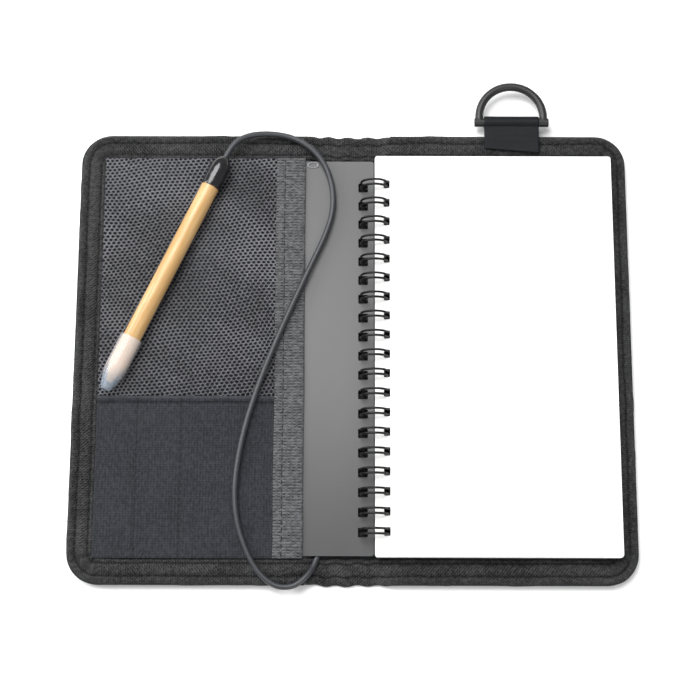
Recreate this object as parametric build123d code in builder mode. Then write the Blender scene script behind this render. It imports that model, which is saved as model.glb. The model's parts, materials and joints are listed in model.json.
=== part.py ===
from build123d import *
import math
import os

# Pocket notebook in a fabric case, lying open on its outer face. Millimetres.
# Origin: on the underside, at the middle of the spine. +X to the notebook's
# pages, +Y to the D-ring's edge, +Z up.
os.makedirs("parts", exist_ok=True)

# ---- case ----
panel_outer_x = 121.5       # spine's middle to a panel's outer edge
case_half_y = 100.0         # middle to the top and bottom edges
panel_corner_r = 14.0
spine_left_x = -20.5        # where the front panel begins
spine_right_x = 16.5        # where the back panel begins
binding_width = 11.5        # of the ribbon on each face
binding_t = 0.6             # ribbon's thickness
shell_t = 0.6               # outer cloth, over the ribbon's lower leg
stiffener_t = 2.0
stiffener_inset = 1.5       # board's edge inside the cloth's edge
lining_t = 0.6
spine_ribbon_t = 0.35       # ribbon over the thin spine
spine_cloth_t = 0.3
spine_lining_t = 0.5

# ---- notebook ----
paper_width = 104.0
paper_half_y = 88.0
paper_corner_r = 1.2
cover_half_y = 87.3
cover_t = 0.5
cover_lift = 0.3            # cover's underside above the lining
cover_tuck = 110.0          # width of each cover, from the rings outwards
page_block_t = 4.2
top_sheets_t = 0.6
sheet_gap = 0.1             # between the still sheets and the ones that turn
loop_count = 19
loop_pitch = 25.4 / 3
loops_y = -1.2              # middle of the row of loops
loop_twin_spacing = 2.2
wire_d = 1.0
ring_outer_d = 12.7
ring_x = 9.3
ring_under = 0.9            # ring's underside above the spine's lining
edge_gap = 0.2              # paper's edge from the ring's middle, each side
hole_size = (4.2, 4.0)
hole_corner_r = 0.4
hole_x = ring_outer_d * 4.9 / 12.7  # hole's middle from the ring's middle
page_hole_size = (2.7, 3.7)
page_hole_x = ring_outer_d * 5.35 / 12.7

# ---- pockets on the front panel ----
sleeve_gap = 0.1            # pocket cloth above the cover under it
net_t = 0.4
elastic_t = 0.6
pocket_rim = 1.0            # sewn rim that comes down to the lining
pocket_split_y = -19.0      # net above, elastic below
tape_width = 12.0
tape_t = 0.8
tape_gap_x = 1.0            # tape's free edge inside the panel's edge

# ---- sleeve on the back panel ----
back_sleeve_mouth_x = 42.0
back_sleeve_t = 0.5

# ---- D-ring and its tab ----
ring_bar_y = case_half_y + 5.5
d_ring_x = 70.6
d_ring_bar_d = 3.8
d_ring_bow_d = 3.6
d_ring_inner = 25.0
d_ring_arm = 2.6            # straight part of each arm, before the bow
d_ring_foot = 2.2           # how far each foot stands out past its arm's middle
tab_width = 24.4
tab_t = 1.0
tab_end_y = case_half_y - 9.0
tab_slant = 2.4             # how much the sewn end slants
tab_bar_clearance = 0.1

# ---- pencil ----
pencil_end = (-56.5, 87.0)  # where the cord meets the end sleeve
pencil_tip = (-106.0, -17.2)
pencil_d = 7.8
lead_d = 2.0
lead_clearance = 0.02
pencil_cone_l = 9.0
pencil_nose_d = 2.4
lead_point_l = 2.5
end_sleeve_d = 9.0
end_sleeve_l = 15.0
end_sleeve_neck_d = 4.4     # flat end round the cord
end_sleeve_dome_l = 5.5
end_sleeve_wall = 6.0       # solid back, where the cord goes in
end_sleeve_fit = 0.05
cap_d = 9.8
cap_l = 25.0
cap_ogive_l = 12.5
cap_tip_d = 4.2
cap_wall = 0.8
cap_clearance = 0.2         # lowest point of the cap above the elastic pocket
cap_point_room = 1.0        # solid plastic past the end of the cap's hollow

# ---- cord ----
cord_d = 2.5
# Route of the cord: out of the pencil's end, over the case's top edge, down past
# the rings, over the pockets, round the bottom edge and in under the cover.
cord_route = [
    (-56.5, 87.0, 10.4),
    (-53.33, 93.68, 10.4),
    (-46.5, 98.0, 9.2),
    (-37.5, 99.3, 7.7),
    (-28.0, 98.0, 7.2),
    (-19.6, 93.6, 7.2),
    (-13.0, 86.3, 6.9),
    (-9.3, 76.5, 6.7),
    (-8.5, 65.5, 6.6),
    (-11.5, 54.0, 6.6),
    (-17.2, 41.5, 6.9),
    (-24.4, 25.5, 7.4),
    (-32.6, 6.5, 7.4),
    (-40.6, -14.0, 7.2),
    (-46.8, -34.5, 7.3),
    (-50.1, -54.5, 7.2),
    (-49.8, -69.5, 7.1),
    (-46.2, -82.5, 6.9),
    (-40.6, -93.5, 6.7),
    (-33.0, -100.2, 6.6),
    (-25.0, -100.6, 6.6),
    (-18.9, -95.8, 6.2),
    (-15.6, -90.2, 2.7),
    (-13.2, -81.5, 2.45),
    (-11.2, -74.0, 2.45),
]
anchor_length = 9.0
anchor_width = 7.0
anchor_clearance = 0.1      # tab above the spine's lining and below the cover

# ---- heights that follow ----
shell_top = binding_t + shell_t
lining_bottom = shell_top + stiffener_t
lining_top = lining_bottom + lining_t
binding_top = lining_top + binding_t
cover_bottom = lining_top + cover_lift
cover_top = cover_bottom + cover_t
pocket_bottom = cover_top + sleeve_gap
elastic_top = pocket_bottom + elastic_t
back_sleeve_top = pocket_bottom + back_sleeve_t
pages_bottom = back_sleeve_top + sleeve_gap
pages_top = pages_bottom + page_block_t
spine_cloth_top = spine_ribbon_t + spine_cloth_t
spine_top = spine_cloth_top + spine_lining_t
ring_z = spine_top + ring_under + ring_outer_d / 2
pencil_z = elastic_top + cap_clearance + cap_d / 2
inner_y = case_half_y - binding_width
inner_x = panel_outer_x - binding_width


def save(piece, name):
    """Label a finished piece and write it as one STEP file."""
    piece.label = name
    export_step(piece, f"parts/{name}.step")


def slab(low, high, bottom, top):
    """A rectangular slab between two corners."""
    width, depth = high[0] - low[0], high[1] - low[1]
    with BuildPart() as piece:
        with BuildSketch(Plane.XY.offset(bottom)):
            with Locations(((low[0] + high[0]) / 2, (low[1] + high[1]) / 2)):
                Rectangle(width, depth)
        extrude(amount=top - bottom)
    return piece


def panel_slab(side, start_x, inset, bottom, top):
    """A panel-shaped slab, round at its two outer corners. side is -1 or 1."""
    end_x = panel_outer_x - inset
    half_y = case_half_y - inset
    corner_r = max(panel_corner_r - inset, 1.0)
    with BuildPart() as piece:
        with BuildSketch(Plane.XY.offset(bottom)) as outline:
            with Locations((side * (start_x + end_x) / 2, 0)):
                Rectangle(end_x - start_x, 2 * half_y)
            outer = outline.vertices().group_by(Axis.X)[-1 if side > 0 else 0]
            fillet(outer, corner_r)
        extrude(amount=top - bottom)
    return piece


def make_panel(side, start_x, name):
    """Shell, stiffener, lining and folded binding of one panel."""
    with BuildPart() as shell:
        add(panel_slab(side, start_x, binding_width, 0, shell_top).part)
        add(panel_slab(side, start_x, binding_t, binding_t, shell_top).part)
    save(shell.part, f"{name}_outer_shell")

    with BuildPart() as stiffener:
        add(panel_slab(side, start_x, stiffener_inset, shell_top, lining_bottom).part)
    save(stiffener.part, f"{name}_stiffener")

    with BuildPart() as lining:
        add(panel_slab(side, start_x, binding_t, lining_bottom, lining_top).part)
    save(lining.part, f"{name}_lining")

    with BuildPart() as binding:
        add(panel_slab(side, start_x, 0, 0, binding_top).part)
        add(panel_slab(side, start_x, binding_t, binding_t, lining_top).part,
            mode=Mode.SUBTRACT)
        add(panel_slab(side, start_x, binding_width, 0, binding_top).part,
            mode=Mode.SUBTRACT)
    save(binding.part, f"{name}_binding")


make_panel(-1, -spine_left_x, "front")
make_panel(1, spine_right_x, "back")

# ---- soft spine between the panels ----
left_low = (spine_left_x, -case_half_y)
right_high = (spine_right_x, case_half_y)
with BuildPart() as spine_shell:
    add(slab((spine_left_x, -inner_y), (spine_right_x, inner_y), 0, spine_cloth_top).part)
    add(slab((spine_left_x, -case_half_y + binding_t), (spine_right_x, case_half_y - binding_t),
             spine_ribbon_t, spine_cloth_top).part)
save(spine_shell.part, "spine_shell")

with BuildPart() as spine_lining:
    add(slab((spine_left_x, -case_half_y + binding_t), (spine_right_x, case_half_y - binding_t),
             spine_cloth_top, spine_top).part)
save(spine_lining.part, "spine_lining")

with BuildPart() as spine_binding:
    add(slab(left_low, right_high, 0, spine_top + spine_ribbon_t).part)
    add(slab((spine_left_x, -case_half_y + binding_t), (spine_right_x, case_half_y - binding_t),
             spine_ribbon_t, spine_top).part, mode=Mode.SUBTRACT)
    add(slab((spine_left_x, -inner_y), (spine_right_x, inner_y), 0,
             spine_top + spine_ribbon_t).part, mode=Mode.SUBTRACT)
save(spine_binding.part, "spine_binding")


# ---- pockets on the front panel ----
pocket_right_x = spine_left_x - tape_gap_x - tape_width


def inner_outline(side, start_x, top):
    """The space inside a panel's binding, from the lining up."""
    return panel_slab(side, start_x, binding_width, lining_top, top).part


def make_pocket(low_y, high_y, thickness, name):
    """Pocket cloth whose outer edges are sewn down to the lining."""
    rim_y = high_y - pocket_rim if high_y > 0 else low_y
    with BuildPart() as pocket:
        add(slab((-inner_x, low_y), (pocket_right_x, high_y), pocket_bottom,
                 pocket_bottom + thickness).part)
        add(slab((-inner_x, low_y), (-inner_x + pocket_rim, high_y), lining_top,
                 pocket_bottom).part)
        add(slab((-inner_x, rim_y), (pocket_right_x, rim_y + pocket_rim), lining_top,
                 pocket_bottom).part)
        add(inner_outline(-1, -pocket_right_x, pocket_bottom + thickness), mode=Mode.INTERSECT)
    save(pocket.part, name)


make_pocket(pocket_split_y, inner_y, net_t, "net_pocket")
make_pocket(-inner_y, pocket_split_y, elastic_t, "elastic_pocket")

with BuildPart() as sleeve_edge_tape:
    add(slab((pocket_right_x, -inner_y), (pocket_right_x + tape_width, inner_y),
             pocket_bottom, pocket_bottom + tape_t).part)
    for end_y in (-inner_y, inner_y - pocket_rim):
        add(slab((pocket_right_x, end_y), (pocket_right_x + tape_width, end_y + pocket_rim),
                 lining_top, pocket_bottom).part)
save(sleeve_edge_tape.part, "sleeve_edge_tape")

# ---- sleeve on the back panel, sewn down on three sides ----
with BuildPart() as back_sleeve:
    add(slab((back_sleeve_mouth_x, -inner_y), (inner_x, inner_y), pocket_bottom,
             back_sleeve_top).part)
    for end_y in (-inner_y, inner_y - pocket_rim):
        add(slab((back_sleeve_mouth_x, end_y), (inner_x, end_y + pocket_rim), lining_top,
                 pocket_bottom).part)
    add(slab((inner_x - pocket_rim, -inner_y), (inner_x, inner_y), lining_top,
             pocket_bottom).part)
    add(inner_outline(1, back_sleeve_mouth_x, back_sleeve_top), mode=Mode.INTERSECT)
save(back_sleeve.part, "back_sleeve")


# ---- notebook: covers, pages and top sheets, all punched for the rings ----
def punched_sheet(side, width, half_y, bottom, top, name, hole=hole_size, at=hole_x):
    """A sheet or stack beside the rings, with one hole for each loop."""
    near_x = ring_x + side * edge_gap
    far_x = near_x + side * width
    with BuildPart() as sheet:
        with BuildSketch(Plane.XY.offset(bottom)) as outline:
            with Locations(((near_x + far_x) / 2, 0)):
                RectangleRounded(width, 2 * half_y, paper_corner_r)
            with Locations((ring_x + side * at, loops_y)):
                with GridLocations(1, loop_pitch, 1, loop_count):
                    RectangleRounded(*hole, hole_corner_r, mode=Mode.SUBTRACT)
        extrude(amount=top - bottom)
    save(sheet.part, name)


cover_width = inner_x - ring_x - pocket_rim - 2 * edge_gap
punched_sheet(-1, cover_tuck, cover_half_y, cover_bottom, cover_top, "notebook_front_cover")
punched_sheet(1, cover_width, cover_half_y, cover_bottom, cover_top, "notebook_back_cover")
punched_sheet(1, paper_width, paper_half_y, pages_bottom, pages_top, "page_block",
              page_hole_size, page_hole_x)
sheets_bottom = pages_top + sheet_gap
punched_sheet(1, paper_width, paper_half_y, sheets_bottom, sheets_bottom + top_sheets_t,
              "top_sheets", page_hole_size, page_hole_x)

# small oval eyelet at the cover's top edge
eyelet_at = (-17.9, 85.6)
eyelet_size = (5.8, 3.2)
eyelet_hole = (3.0, 1.2)
eyelet_t = 0.4
with BuildPart() as cover_eyelet:
    with BuildSketch(Plane.XY.offset(cover_top)):
        with Locations(eyelet_at):
            Ellipse(eyelet_size[0] / 2, eyelet_size[1] / 2)
            Ellipse(eyelet_hole[0] / 2, eyelet_hole[1] / 2, mode=Mode.SUBTRACT)
    extrude(amount=eyelet_t)
save(cover_eyelet.part, "cover_eyelet")

# ---- twin-loop wire ----
# Each finger leaves the back of the wire, runs round the ring and turns back at its tip.
ring_r = (ring_outer_d - wire_d) / 2
finger_start = -110.0       # where the fingers leave the back, degrees from +X towards +Z
finger_end = 228.0          # where each finger turns back
twin_y = loop_twin_spacing / 2
back_bend_r = 0.9


def around(angle):
    """Outward and forward directions on the ring at an angle in degrees."""
    turn = math.radians(angle)
    return Vector(math.cos(turn), 0, math.sin(turn)), Vector(-math.sin(turn), 0, math.cos(turn))


ring_middle = Vector(ring_x, 0, ring_z)
start_out, start_on = around(finger_start)
end_out, end_on = around(finger_end)
start_at = ring_middle + start_out * ring_r
end_at = ring_middle + end_out * ring_r
back_y = twin_y + back_bend_r
with BuildPart() as finger:
    for way in (1, -1):
        side_y = Vector(0, way * twin_y, 0)
        with BuildSketch(Plane(origin=start_at + side_y, x_dir=(0, 1, 0), z_dir=start_on)):
            Circle(wire_d / 2)
        revolve(axis=Axis(ring_middle + side_y, (0, -1, 0)),
                revolution_arc=finger_end - finger_start)
        with BuildSketch(Plane(origin=start_at + side_y, x_dir=(0, 1, 0), z_dir=start_on)):
            Circle(wire_d / 2)
        revolve(axis=Axis(start_at + Vector(0, way * back_y, 0), start_out * way),
                revolution_arc=90)
        link_start = start_at - start_on * back_bend_r + Vector(0, way * back_y, 0)
        with BuildSketch(Plane(origin=link_start, x_dir=start_out, z_dir=(0, way, 0))):
            Circle(wire_d / 2)
        extrude(amount=loop_pitch / 2 - back_y)
    with BuildSketch(Plane(origin=end_at + Vector(0, twin_y, 0), x_dir=(0, 1, 0),
                           z_dir=end_on)):
        Circle(wire_d / 2)
    revolve(axis=Axis(end_at, end_out), revolution_arc=180)
with BuildPart() as wire_binding:
    with Locations((0, loops_y)):
        with GridLocations(1, loop_pitch, 1, loop_count):
            add(finger.part)
save(wire_binding.part, "wire_binding")


# ---- D-ring and its folded tab ----
arm_x = (d_ring_inner + d_ring_bow_d) / 2
bar_z = binding_top + tab_t
arm_y = ring_bar_y + d_ring_arm
with BuildPart() as d_ring:
    with BuildLine() as ring_path:
        left_arm = Line((d_ring_x - arm_x, ring_bar_y, bar_z), (d_ring_x - arm_x, arm_y, bar_z))
        bow = ThreePointArc(left_arm @ 1, (d_ring_x, arm_y + arm_x, bar_z),
                            (d_ring_x + arm_x, arm_y, bar_z))
        Line(bow @ 1, (d_ring_x + arm_x, ring_bar_y, bar_z))
    with BuildSketch(Plane(origin=left_arm @ 0, z_dir=left_arm % 0)):
        Circle(d_ring_bow_d / 2)
    sweep()
    bar_start = (d_ring_x - arm_x - d_ring_foot, ring_bar_y, bar_z)
    with BuildSketch(Plane(origin=bar_start, z_dir=(1, 0, 0))):
        Circle(d_ring_bar_d / 2)
    extrude(amount=2 * (arm_x + d_ring_foot))
save(d_ring.part, "d_ring")

tab_inner_r = d_ring_bar_d / 2 + tab_bar_clearance
tab_left_x = d_ring_x - tab_width / 2
with BuildPart() as ring_tab:
    with BuildSketch(Plane.YZ.offset(tab_left_x)):
        with Locations((ring_bar_y, bar_z)):
            Circle(tab_inner_r + tab_t)
        with Locations(((ring_bar_y + tab_end_y) / 2, bar_z)):
            Rectangle(ring_bar_y - tab_end_y, 2 * tab_t)
        with Locations((ring_bar_y, bar_z)):
            Circle(tab_inner_r, mode=Mode.SUBTRACT)
    extrude(amount=tab_width)
    with BuildSketch(Plane.XY.offset(bar_z - tab_t)):
        with BuildLine():
            Polyline(
                (tab_left_x, tab_end_y), (tab_left_x, tab_end_y + tab_slant),
                (tab_left_x + tab_width, tab_end_y), close=True)
        make_face()
    extrude(amount=2 * tab_t, mode=Mode.SUBTRACT)
save(ring_tab.part, "ring_tab")

# ---- pencil: each piece is turned about its own axis ----
run_x = pencil_tip[0] - pencil_end[0]
run_y = pencil_tip[1] - pencil_end[1]
pencil_l = math.hypot(run_x, run_y)
pencil_dir = (run_x / pencil_l, run_y / pencil_l, 0)
pencil_profile = Plane(origin=(*pencil_end, pencil_z), x_dir=pencil_dir,
                       z_dir=Vector(*pencil_dir).cross(Vector(0, 0, 1)))
pencil_axis = Axis((*pencil_end, pencil_z), pencil_dir)
cone_start = pencil_l - cap_ogive_l
cone_end = cone_start + pencil_cone_l
barrel_start = end_sleeve_wall


def turned(points, name):
    """A piece turned about the pencil's axis from a half profile (along, radius)."""
    with BuildPart() as piece:
        with BuildSketch(pencil_profile):
            with BuildLine():
                Polyline(*points, close=True)
            make_face()
        revolve(axis=pencil_axis)
    save(piece.part, name)


bore_r = lead_d / 2 + lead_clearance
turned([(barrel_start, bore_r), (barrel_start, pencil_d / 2), (cone_start, pencil_d / 2),
        (cone_end, pencil_nose_d / 2), (cone_end, bore_r)], "pencil_barrel")
turned([(barrel_start, 0), (barrel_start, lead_d / 2), (cone_end, lead_d / 2),
        (cone_end + lead_point_l, 0.15), (cone_end + lead_point_l, 0)], "pencil_lead")
sleeve_inner_r = pencil_d / 2 + end_sleeve_fit
with BuildPart() as cord_sleeve:
    with BuildSketch(pencil_profile):
        with BuildLine():
            dome_edge = (end_sleeve_dome_l, end_sleeve_d / 2)
            neck = Line((0, 0), (0, end_sleeve_neck_d / 2))
            dome = Spline(neck @ 1, dome_edge, tangents=((0.6, 1), (1, 0)))
            skirt = Line(dome @ 1, (end_sleeve_l, end_sleeve_d / 2))
            Polyline(skirt @ 1, (end_sleeve_l, sleeve_inner_r), (barrel_start, sleeve_inner_r),
                     (barrel_start, 0), (0, 0))
        make_face()
    revolve(axis=pencil_axis)
save(cord_sleeve.part, "cord_sleeve")

cap_start = pencil_l - cap_l
cap_inner_r = cap_d / 2 - cap_wall
cap_hollow_end = pencil_l - cap_point_room
with BuildPart() as tip_cap:
    with BuildSketch(pencil_profile):
        with BuildLine():
            mouth = Line((cap_start, cap_inner_r), (cap_start, cap_d / 2))
            straight = Line(mouth @ 1, (cone_start, cap_d / 2))
            ogive = TangentArc(straight @ 1, (pencil_l, cap_tip_d / 2), tangent=(1, 0))
            face = Line(ogive @ 1, (pencil_l, 0))
            back = Line(face @ 1, (cap_hollow_end, 0))
            blind = Line(back @ 1, (cap_hollow_end, cap_tip_d / 2 - cap_wall))
            inner = TangentArc((cone_start, cap_inner_r), blind @ 1, tangent=(1, 0))
            Line(inner @ 0, mouth @ 0)
        make_face()
    revolve(axis=pencil_axis)
save(tip_cap.part, "tip_cap")

# ---- cord: straight runs joined by arcs as large as the runs allow ----
route = [Vector(*point) for point in cord_route]
runs = [after - before for before, after in zip(route, route[1:])]
cord_radii = [
    0.45 * min(before.length, after.length)
    / math.tan(math.radians(before.get_angle(after)) / 2)
    for before, after in zip(runs, runs[1:])
]
print("cord radii", [round(radius, 1) for radius in cord_radii])
with BuildPart() as tether_cord:
    with BuildLine():
        cord_line = FilletPolyline(*route, radius=cord_radii)
    with BuildSketch(Plane(origin=cord_line @ 0, z_dir=cord_line % 0)):
        Circle(cord_d / 2)
    sweep()
print("cord length", round(cord_line.length, 1))
print("cord volume over its section times length",
      round(tether_cord.part.volume / (math.pi * cord_d ** 2 / 4 * cord_line.length), 4))
save(tether_cord.part, "tether_cord")

# tab that the cord's end is sewn into, between the spine's lining and the cover
anchor_dir = runs[-1].normalized()
anchor_bottom = spine_top + anchor_clearance
anchor_top = cover_bottom - anchor_clearance
anchor_mid = route[-1] + anchor_dir * anchor_length / 2
with BuildPart() as cord_anchor_tab:
    with BuildSketch(Plane(origin=(anchor_mid.X, anchor_mid.Y, anchor_bottom),
                           x_dir=(anchor_dir.X, anchor_dir.Y, 0), z_dir=(0, 0, 1))):
        Rectangle(anchor_length, anchor_width)
    extrude(amount=anchor_top - anchor_bottom)
save(cord_anchor_tab.part, "cord_anchor_tab")
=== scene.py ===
import json
import math

import bmesh
import bpy
from mathutils import Matrix, Vector, noise


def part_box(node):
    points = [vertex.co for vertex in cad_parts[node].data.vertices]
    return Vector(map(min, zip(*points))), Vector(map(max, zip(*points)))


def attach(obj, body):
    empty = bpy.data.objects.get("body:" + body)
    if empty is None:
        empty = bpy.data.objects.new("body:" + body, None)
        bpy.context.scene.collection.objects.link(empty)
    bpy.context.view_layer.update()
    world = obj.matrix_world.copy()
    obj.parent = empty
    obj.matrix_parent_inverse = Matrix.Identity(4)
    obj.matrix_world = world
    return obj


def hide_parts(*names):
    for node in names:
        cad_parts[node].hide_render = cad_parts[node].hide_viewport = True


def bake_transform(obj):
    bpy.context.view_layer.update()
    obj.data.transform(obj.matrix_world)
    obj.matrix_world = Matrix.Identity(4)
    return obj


bl_info = {
    "name": "Pocket Notebook in a Fabric Case",
    "version": (1, 0, 0),
    "blender": (4, 5, 0),
    "location": "View3D > Sidebar > Notebook",
    "description": "Cloth, net, wire, pages, pencil and cord of a notebook in a fabric case",
    "category": "Object",
}

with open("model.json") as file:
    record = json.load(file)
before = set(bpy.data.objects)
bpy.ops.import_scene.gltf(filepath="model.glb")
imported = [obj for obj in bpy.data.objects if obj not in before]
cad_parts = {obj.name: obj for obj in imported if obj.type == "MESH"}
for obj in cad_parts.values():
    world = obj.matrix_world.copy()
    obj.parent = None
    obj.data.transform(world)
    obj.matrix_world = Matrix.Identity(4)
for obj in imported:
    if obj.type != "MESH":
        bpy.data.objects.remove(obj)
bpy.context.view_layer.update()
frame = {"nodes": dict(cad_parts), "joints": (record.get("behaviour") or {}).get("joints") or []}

MM = 0.001
FRONT, BACK = "front_cover", "back_cover"
UP = Vector((0, 0, 1))
ALONG_X, ALONG_Y = Vector((1, 0, 0)), Vector((0, 1, 0))
SAME_PLACE = 0.001 * MM     # points this close are one
RIBBON_WIDTH = 27 * MM      # unfolded


# ---- places from the frame
def low(node):
    """A node's lowest corner."""
    return Vector(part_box(node)[0])


def high(node):
    """A node's highest corner."""
    return Vector(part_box(node)[1])


def flat_box(node):
    """A node's left, right, bottom and top."""
    return low(node).x, high(node).x, low(node).y, high(node).y


HALF_Y = high("back_binding").y
OUTER_X = high("back_binding").x
PANEL_TOP = high("front_lining").z
BINDING_TOP = high("front_binding").z
SPINE_LEFT = low("spine_lining").x
SPINE_RIGHT = high("spine_lining").x
CORNER_R = 14 * MM
BINDING_WIDTH = HALF_Y - high("sleeve_edge_tape").y
JOINTS = {joint["name"]: joint for joint in frame["joints"]}

# Route of the cord, the same points as its solid's.
CORD_ROUTE = [
    (-56.5, 87.0, 10.4), (-53.33, 93.68, 10.4), (-46.5, 98.0, 9.2), (-37.5, 99.3, 7.7),
    (-28.0, 98.0, 7.2), (-19.6, 93.6, 7.2), (-13.0, 86.3, 6.9), (-9.3, 76.5, 6.7),
    (-8.5, 65.5, 6.6), (-11.5, 54.0, 6.6), (-17.2, 41.5, 6.9), (-24.4, 25.5, 7.4),
    (-32.6, 6.5, 7.4), (-40.6, -14.0, 7.2), (-46.8, -34.5, 7.3), (-50.1, -54.5, 7.2),
    (-49.8, -69.5, 7.1), (-46.2, -82.5, 6.9), (-40.6, -93.5, 6.7), (-33.0, -100.2, 6.6),
    (-25.0, -100.6, 6.6), (-18.9, -95.8, 6.2), (-15.6, -90.2, 2.7), (-13.2, -81.5, 2.45),
    (-11.2, -74.0, 2.45),
]
PENCIL_END = Vector(CORD_ROUTE[0]) * MM
PENCIL_DIR = Vector(JOINTS["pencil_slide"]["axis"]).normalized()
PENCIL_HEADING = math.atan2(PENCIL_DIR.y, PENCIL_DIR.x)
# Places along the pencil, in millimetres from the cord's end.
PENCIL_L = 115.36           # the tip of the cap
CONE_START = PENCIL_L - 12.5
CONE_END = CONE_START + 9.0


# ---- sizes and colours
def length(name, default, about):
    """A length property, in metres."""
    return bpy.props.FloatProperty(name=name, default=default, unit="LENGTH", precision=5,
                                   description=about)


def colour(name, default, about):
    """A colour property, linear."""
    return bpy.props.FloatVectorProperty(name=name, default=default, subtype="COLOR",
                                         min=0, max=1, description=about)


class NotebookSizes(bpy.types.PropertyGroup):
    """Sizes of the case's cloth and the notebook's fine detail."""
    rib: length("Rib", 1.0 * MM, "Pitch of the ribbon's ribs")
    stitch: length("Stitch", 3.4 * MM, "Pitch of the stitches")
    stitch_length: length("Stitch length", 2.5 * MM, "Length of the thread that shows")
    thread: length("Thread", 0.42 * MM, "Diameter of the sewing thread")
    net_cell: length("Net cell", 1.85 * MM, "Distance between the net's holes")
    net_hole: length("Net hole", 1.15 * MM, "Width of one hole in the net")
    net_strand: length("Net thickness", 0.24 * MM, "Thickness of the net")
    waviness: length("Waviness", 0.7 * MM, "How far the sewn edge wanders")
    cord: length("Cord", 2.5 * MM, "Diameter of the pencil's cord")
    pencil: length("Pencil", 7.8 * MM, "Diameter of the pencil")
    leaves: bpy.props.IntProperty(name="Leaves", default=20, min=4,
                                  description="Separate leaves modelled in the page block")


class NotebookColours(bpy.types.PropertyGroup):
    """Colours of the finishes."""
    ribbon: colour("Ribbon", (0.0155, 0.0155, 0.0158), "Grosgrain binding")
    cloth: colour("Cloth", (0.018, 0.019, 0.021), "Nylon of the case")
    net: colour("Net", (0.070, 0.070, 0.077), "Net pocket")
    elastic: colour("Elastic", (0.023, 0.024, 0.028), "Elastic pocket")
    webbing: colour("Webbing", (0.080, 0.081, 0.085), "Tape along the sleeve")
    cover: colour("Cover", (0.100, 0.100, 0.1015), "Notebook's plastic covers")
    paper: colour("Paper", (0.86, 0.86, 0.85), "Blank sheets")
    wire: colour("Wire", (0.003, 0.003, 0.0033), "Coated wire")
    ring: colour("Ring", (0.011, 0.011, 0.0115), "Moulded D-ring")
    tab: colour("Tab", (0.005, 0.0055, 0.007), "Woven tab")
    wood: colour("Wood", (0.43, 0.262, 0.105), "Lacquered wood")
    boot: colour("Boot", (0.005, 0.005, 0.006), "Sleeve on the pencil's end")
    cap: colour("Cap", (0.80, 0.83, 0.88), "Clear cap")
    cord: colour("Cord", (0.022, 0.024, 0.028), "Round cord")
    floor: colour("Floor", (0.93, 0.93, 0.93), "Floor under the notebook")


def sizes():
    """The scene's sizes."""
    return bpy.context.scene.notebook_sizes


def colours():
    """The scene's colours."""
    return bpy.context.scene.notebook_colours


# ---- shader maths
class Field:
    """A shader socket that can be used in sums."""

    def __init__(self, finish, socket):
        self.finish, self.socket = finish, socket

    def sum(self, operation, *others):
        return self.finish.node("ShaderNodeMath", {"operation": operation},
                                {i: other for i, other in enumerate((self, *others))})

    def __add__(self, other):
        return self.sum("ADD", other)

    __radd__ = __add__

    def __sub__(self, other):
        return self.sum("SUBTRACT", other)

    def __rsub__(self, other):
        return (self * -1) + other

    def __mul__(self, other):
        return self.sum("MULTIPLY", other)

    __rmul__ = __mul__

    def sin(self):
        return self.sum("SINE")

    def size(self):
        return self.sum("ABSOLUTE")

    def wave(self, pitch):
        """A smooth wave from 0 to 1 that repeats at a pitch."""
        return (self * (2 * math.pi / pitch)).sin() * 0.5 + 0.5

    def steps(self, start, end):
        """0 below start, 1 above end, smooth between."""
        return self.finish.node("ShaderNodeMapRange", {"interpolation_type": "SMOOTHSTEP"},
                                {"Value": self, "From Min": start, "From Max": end})


def opaque(base):
    """A plain colour with its alpha, or a field as it is."""
    return base if isinstance(base, Field) else (*base[:3], 1)


def shade(base, factor):
    """A colour made lighter or darker."""
    return tuple(min(1, value * factor) for value in base[:3])


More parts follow.
